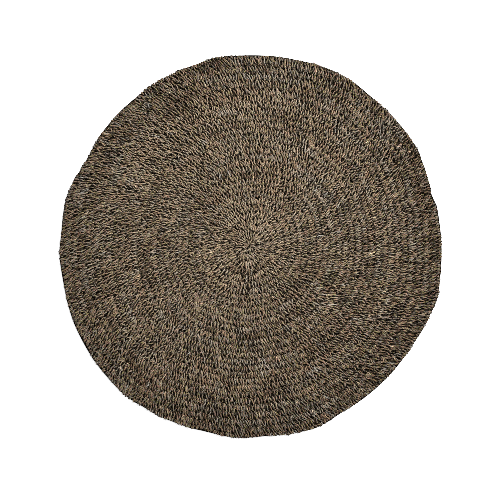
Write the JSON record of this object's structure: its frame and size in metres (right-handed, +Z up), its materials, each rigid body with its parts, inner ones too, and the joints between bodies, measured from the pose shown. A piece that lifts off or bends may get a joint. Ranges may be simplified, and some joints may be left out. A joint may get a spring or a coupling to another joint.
{
  "type": "round seagrass rug",
  "caption": "Round flat rug of natural and black seagrass, crocheted in ridged rounds from the middle to a stitched edge, with a flat underside.",
  "frame": {"origin": "on the underside, at the middle of the rug's outline", "axes": "+Z up out of the worn side, X and Y in the plane of the rug"},
  "size_m": [1.4999, 1.502, 0.013],
  "materials": {
    "seagrass": "dry, matt twisted seagrass, natural straw brown mixed with black"
  },
  "bodies": {
    "root": {"rug": "seagrass"}
  },
  "joints": []
}
